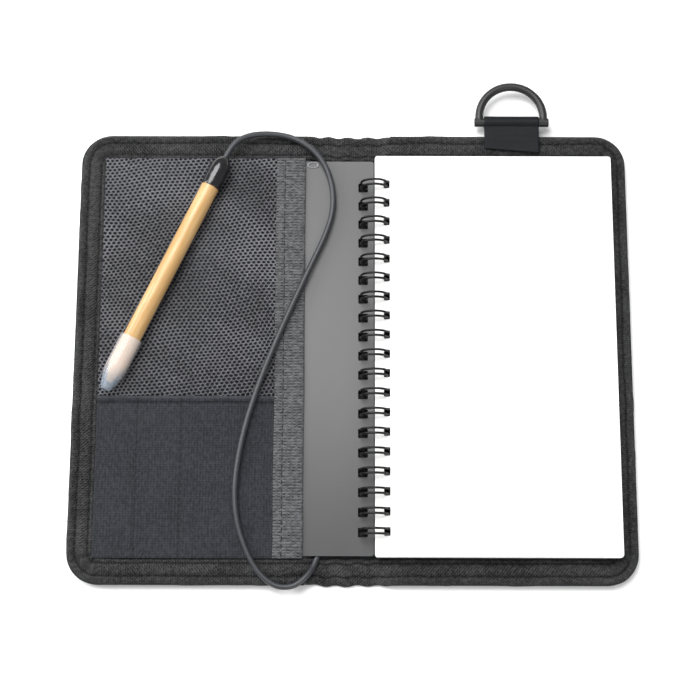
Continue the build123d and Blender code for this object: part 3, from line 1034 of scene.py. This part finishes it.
class NOTEBOOK_OT_tape(bpy.types.Operator):
    """Woven tape down the sleeve's mouth"""
    bl_idname = "notebook.tape"
    bl_label = "Sleeve tape"

    def execute(self, context):
        left, right, bottom, top = flat_box("sleeve_edge_tape")
        rest = high("sleeve_edge_tape").z - 0.75 * MM
        size = (right - left, top - bottom)
        seam = left + 3.5 * MM

        def put(u, v):
            x, y = between(left - 0.3 * MM, right + 0.2 * MM, u), between(bottom, top, v)
            x += wander((0, y, 0), 26 * MM, 6) * 0.35 * MM
            edge = 1 - (2 * u - 1) ** 8
            dip = math.exp(-((x - seam) / (0.7 * MM)) ** 2)
            roll = wander((x, y, 0), 15 * MM, 7) * 0.25 * MM
            return Vector((x, y, rest + 0.25 * MM * edge - 0.22 * MM * dip + roll + 0.15 * MM))

        form = facing_up(cloth_grid(20, 150, (size[1], size[0]), lambda u, v: put(v, u)))
        stretch_over_cover("sleeve_tape", form, webbing_finish, 0.6 * MM,
                           "sleeve_edge_tape")

        count = int(size[1] / sizes().stitch)
        places = [(put((seam - left) / size[0], (i + 0.5) / count) + UP * 0.68 * MM, ALONG_Y)
                  for i in range(count)]
        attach(sew("sleeve_tape_stitches", places), FRONT)
        return {"FINISHED"}


def cut_across(form, start, end, step):
    """Cut a mesh at even steps along X, so that it can bend there."""
    for i in range(int((end - start) / step) + 1):
        cut(form, (start + i * step, 0, 0), (1, 0, 0))
    bmesh.ops.triangulate(form, faces=[face for face in form.faces if len(face.verts) > 4])


class NOTEBOOK_OT_covers(bpy.types.Operator):
    """Plastic covers of the notebook, the front one cut across near the spine"""
    bl_idname = "notebook.covers"
    bl_label = "Covers"

    def execute(self, context):
        form = cad_form("notebook_front_cover")
        start, end = 1 * MM, SPINE_LEFT - 0.5 * MM
        cut_across(form, end, start, 1.3 * MM)
        cover = new_piece("plastic_front_cover", form, cover_finish, sharp=30)
        fit(cover, "notebook_front_cover")
        bend_with_spine(cover)
        paint("notebook_back_cover", cover_finish)

        form = cad_form("cord_anchor_tab")
        bmesh.ops.subdivide_edges(form, edges=form.edges[:], cuts=2, use_grid_fill=True)
        anchor = new_piece("anchor_loop", form, webbing_finish, sharp=30)
        fit(anchor, "cord_anchor_tab", FRONT)

        middle = (low("cover_eyelet") + high("cover_eyelet")) / 2
        size = (high("cover_eyelet") - low("cover_eyelet")) / 2
        form = bmesh.new()
        rim_at, rim = 0.78, 0.16        # shares of the eyelet's half size
        ring = bmesh.ops.create_circle(form, segments=10, radius=rim,
                                       matrix=Matrix.Translation((rim_at, 0, 0))
                                       @ Matrix.Rotation(math.pi / 2, 4, "X"))
        bmesh.ops.spin(form, geom=ring["verts"] + form.edges[:], axis=(0, 0, 1), cent=(0, 0, 0),
                       angle=2 * math.pi, steps=32, use_merge=True)
        bmesh.ops.recalc_face_normals(form, faces=form.faces)
        bmesh.ops.scale(form, vec=(size.x, size.y, 1.2 * MM), verts=form.verts)
        bmesh.ops.translate(form, vec=middle, verts=form.verts)
        fit(new_piece("oval_eyelet", form, eyelet_finish), "cover_eyelet", FRONT)
        return {"FINISHED"}


# A leaf starts at this share of its own layer of the stack, and fills this share of it.
LEAF_START, LEAF_FILL = 0.04, 0.86
LEAF_SLIP = 0.22            # how far a leaf lies out of line, in millimetres


def leaf_stack(name, bottom, top, count, body, node):
    """Separate leaves with punched holes, each a little out of line."""
    single = cad_form("top_sheets")
    base, thick = low("top_sheets").z, high("top_sheets").z - low("top_sheets").z
    step = (top - bottom) / count
    leaf = bpy.data.meshes.new("leaf")
    single.to_mesh(leaf)
    single.free()
    form = bmesh.new()
    for i in range(count):
        made = len(form.verts)
        form.from_mesh(leaf)
        form.verts.ensure_lookup_table()
        slip = Vector((wander((i, 0, 0), 1.7, 8), wander((i, 3, 0), 1.7, 9), 0)) * LEAF_SLIP * MM
        for vert in form.verts[made:]:
            share = (vert.co.z - base) / thick
            vert.co.z = bottom + (i + LEAF_START + share * LEAF_FILL) * step
            vert.co += slip * ease((vert.co.x - 18 * MM) / (30 * MM))
    fit(new_piece(name, form, paper_finish, sharp=30), node, body)


class NOTEBOOK_OT_pages(bpy.types.Operator):
    """Blank leaves, those that lie still and those that turn"""
    bl_idname = "notebook.pages"
    bl_label = "Pages"

    def execute(self, context):
        leaf_stack("page_leaves", low("page_block").z, high("page_block").z, sizes().leaves,
                   BACK, "page_block")
        leaf_stack("turning_leaves", low("top_sheets").z, high("top_sheets").z, 3,
                   "turning_sheets", "top_sheets")
        return {"FINISHED"}


class NOTEBOOK_OT_wire(bpy.types.Operator):
    """Twin-loop wire through the punched holes"""
    bl_idname = "notebook.wire"
    bl_label = "Wire"

    def execute(self, context):
        wire = new_piece("twin_loop_wire", cad_form("wire_binding", flats=False), wire_finish,
                         sharp=60)
        fit(wire, "wire_binding", BACK)
        return {"FINISHED"}


class NOTEBOOK_OT_ring(bpy.types.Operator):
    """Moulded D-ring and the folded tab that holds it"""
    bl_idname = "notebook.ring"
    bl_label = "D-ring and tab"

    def execute(self, context):
        ring = new_piece("moulded_d_ring", cad_form("d_ring", flats=False), ring_finish, sharp=50)
        bevel = ring.modifiers.new("soft_ends", "BEVEL")
        bevel.width, bevel.segments = 0.5 * MM, 3
        bevel.limit_method, bevel.angle_limit = "ANGLE", math.radians(60)
        fit(ring, "d_ring", "d_ring")

        left, right, end_y, _ = flat_box("ring_tab")
        bar_y, bar_z = JOINTS["d_ring_swing"]["pos_m"][1:]
        thick = 0.9 * MM
        bar_radius, slack = 1.9 * MM, 0.15 * MM
        radius = bar_radius + slack
        sewn_y = HALF_Y - 1.5 * MM
        under_z, over_z = BINDING_TOP + 0.75 * MM, BINDING_TOP + 1.75 * MM
        wrap, wrap_steps = 300, 12      # degrees round the bar
        profile = [(end_y + 0.3 * MM, under_z), (sewn_y, under_z), (sewn_y + 1.5 * MM, under_z)]
        for i in range(wrap_steps + 1):
            angle = math.radians(i * wrap / wrap_steps - wrap / 2)
            profile.append((bar_y + math.cos(angle) * (radius + thick / 2),
                            bar_z + math.sin(angle) * (radius + thick / 2)))
        profile += [(sewn_y + 1.5 * MM, over_z + 0.25 * MM), (sewn_y, over_z), (end_y, over_z)]
        run = [0.0]
        for before, after in zip(profile, profile[1:]):
            run.append(run[-1] + math.dist(before, after))

        def put(u, v):
            at = u * run[-1]
            step = max(i for i in range(len(run) - 1) if run[i] <= at + 1e-9)
            share = (at - run[step]) / (run[step + 1] - run[step])
            y = between(profile[step][0], profile[step + 1][0], share)
            z = between(profile[step][1], profile[step + 1][1], share)
            x = between(left, right, v)
            slant = (1 - v) * 2.0 * MM * ease((sewn_y - y) / (sewn_y - end_y))
            return Vector((x, y + slant, z + wander((x, y, z), 8 * MM, 10) * 0.12 * MM))

        form = cloth_grid(24, 90, (run[-1], right - left), put)
        bmesh.ops.recalc_face_normals(form, faces=form.faces)
        tab = new_piece("folded_tab", form, tab_finish, sharp=80)
        soften(thicken(tab, thick * 0.8, 0.0))
        fit(tab, "ring_tab", BACK)

        pitch = 2.6 * MM
        count = int((right - left - 4 * MM) / pitch)
        places = [(Vector((left + (i + 1.3) * pitch, HALF_Y - 3.2 * MM, over_z + 0.42 * MM)), ALONG_X)
                  for i in range(count)]
        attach(sew("tab_stitches", places), BACK)
        return {"FINISHED"}


def turned(name, profile, maker, node, body="pencil", sharp=35):
    """A piece turned about the pencil's axis from (along, radius) points in millimetres."""
    form = bmesh.new()
    verts = [form.verts.new((along * MM, radius * MM, 0)) for along, radius in profile]
    edges = [form.edges.new(pair) for pair in zip(verts, verts[1:])]
    bmesh.ops.spin(form, geom=verts + edges, axis=(1, 0, 0), cent=(0, 0, 0),
                   angle=2 * math.pi, steps=48, use_merge=True)
    bmesh.ops.remove_doubles(form, verts=form.verts, dist=0.002 * MM)
    bmesh.ops.recalc_face_normals(form, faces=form.faces)
    bmesh.ops.transform(form, verts=form.verts, matrix=Matrix.Translation(PENCIL_END)
                        @ Matrix.Rotation(PENCIL_HEADING, 4, "Z"))
    fit(new_piece(name, form, maker, sharp), node, body)


# In millimetres, as the pencil's profiles are.
BARREL_START = 6.0
BOOT_BORE = 3.98
CAP_L, CAP_R, CAP_BORE = 25, 4.9, 4.15


class NOTEBOOK_OT_pencil(bpy.types.Operator):
    """Round pencil with its sleeve and clear cap"""
    bl_idname = "notebook.pencil"
    bl_label = "Pencil"

    def execute(self, context):
        radius = sizes().pencil / 2 / MM
        turned("wooden_barrel",
               [(BARREL_START, 0), (BARREL_START, radius), (CONE_START - 0.4, radius),
                (CONE_START, radius - 0.1), (CONE_START + 4.5, 2.55), (CONE_END, 1.2),
                (CONE_END, 0)],
               wood_finish, "pencil_barrel")
        turned("graphite_point",
               [(CONE_END - 1.0, 0), (CONE_END - 1.0, 1.0), (CONE_END, 1.0),
                (CONE_END + 1.6, 0.42), (CONE_END + 2.4, 0.2), (CONE_END + 2.5, 0)],
               graphite_finish, "pencil_lead")
        boot_end = BARREL_START + 0.2
        turned("cord_boot",
               [(0, 0), (0, 1.5), (0.15, 1.9), (0.9, 2.6), (2.0, 3.35), (3.4, 4.0),
                (5.0, 4.38), (7.0, 4.5), (9.0, 4.42), (11.0, 4.5), (13.0, 4.38),
                (14.4, 4.42), (14.95, 4.3), (15.0, BOOT_BORE), (boot_end, BOOT_BORE),
                (boot_end, 0)],
               boot_finish, "cord_sleeve", sharp=60)
        cap_start = PENCIL_L - CAP_L
        outer = [(cap_start, 4.75), (cap_start + 0.3, CAP_R), (CONE_START, CAP_R)]
        inner = [(CONE_START, CAP_BORE), (cap_start + 0.2, CAP_BORE), (cap_start, 4.3)]
        nose = [(CONE_START + 12.4 * share, CAP_R - 2.8 * share ** 2.1)
                for share in (0.15, 0.3, 0.45, 0.6, 0.72, 0.84, 0.94)]
        tip = [(PENCIL_L - 0.1, 2.0), (PENCIL_L, 1.7), (PENCIL_L, 0), (PENCIL_L - 1.1, 0),
               (PENCIL_L - 1.1, 1.2)]
        hollow = [(along - 0.9, radius_out - 0.78) for along, radius_out in reversed(nose[:-1])]
        turned("clear_cap", outer + nose + tip + hollow + inner + outer[:1],
               cap_finish, "tip_cap", "tip_cap", sharp=60)
        return {"FINISHED"}


class NOTEBOOK_OT_cloth(bpy.types.Operator):
    """Cloth, boards and the soft spine of the case"""
    bl_idname = "notebook.cloth"
    bl_label = "Cloth and spine"

    def execute(self, context):
        for side in ("front", "back"):
            paint(f"{side}_outer_shell", cloth_finish)
            paint(f"{side}_lining", cloth_finish)
            paint(f"{side}_stiffener", board_finish)
        paint("back_sleeve", cloth_finish)

        width = SPINE_RIGHT - SPINE_LEFT
        reach = HALF_Y - 4 * MM
        floor_z = high("spine_lining").z

        def lining(x):
            """The lining's height, low over the spine and up to the panels at its sides."""
            rise = 1 - ease(min(x - SPINE_LEFT, SPINE_RIGHT - x) / (5 * MM))
            return between(floor_z, PANEL_TOP, rise)

        def shell(x):
            """The shell's height, flat on the floor."""
            return 0.0

        for name, node, height_at, thick, offset, slot in (
                ("spine_inner_cloth", "spine_lining", lining, 0.45, -1.0, "lining_cloth"),
                ("spine_outer_cloth", "spine_shell", shell, 0.5, 1.0, "outer_cloth")):
            def put(u, v):
                x = between(SPINE_LEFT, SPINE_RIGHT, u)
                return Vector((x, between(-reach, reach, v), height_at(x)))

            form = facing_up(cloth_grid(24, 40, (width, 2 * reach), put))
            cloth = new_piece(name, form, cloth_finish, sharp=80)
            settle(thicken(cloth, thick * MM, offset))
            fit(cloth, node)
            bend_with_spine(cloth)
        return {"FINISHED"}


class NOTEBOOK_PT_panel(bpy.types.Panel):
    """Steps that make the notebook, in order"""
    bl_label = "Notebook"
    bl_space_type = "VIEW_3D"
    bl_region_type = "UI"
    bl_category = "Notebook"

    def draw(self, context):
        for operator in OPERATORS:
            self.layout.operator(operator.bl_idname)
        for group in (context.scene.notebook_sizes, context.scene.notebook_colours):
            box = self.layout.box()
            for name in group.__annotations__:
                box.prop(group, name)


OPERATORS = (
    NOTEBOOK_OT_stage, NOTEBOOK_OT_cord, NOTEBOOK_OT_cloth, NOTEBOOK_OT_ribbon,
    NOTEBOOK_OT_net, NOTEBOOK_OT_elastic, NOTEBOOK_OT_tape, NOTEBOOK_OT_covers,
    NOTEBOOK_OT_pages, NOTEBOOK_OT_wire, NOTEBOOK_OT_ring, NOTEBOOK_OT_pencil,
)
CLASSES = (NotebookSizes, NotebookColours, *OPERATORS, NOTEBOOK_PT_panel)


def register():
    for kind in CLASSES:
        bpy.utils.register_class(kind)
    bpy.types.Scene.notebook_sizes = bpy.props.PointerProperty(type=NotebookSizes)
    bpy.types.Scene.notebook_colours = bpy.props.PointerProperty(type=NotebookColours)


def unregister():
    del bpy.types.Scene.notebook_sizes
    del bpy.types.Scene.notebook_colours
    for kind in reversed(CLASSES):
        bpy.utils.unregister_class(kind)


def main():
    """Make every piece."""
    register()
    for operator in OPERATORS:
        group, name = operator.bl_idname.split(".")
        getattr(getattr(bpy.ops, group), name)()


if __name__ == "__main__":
    main()
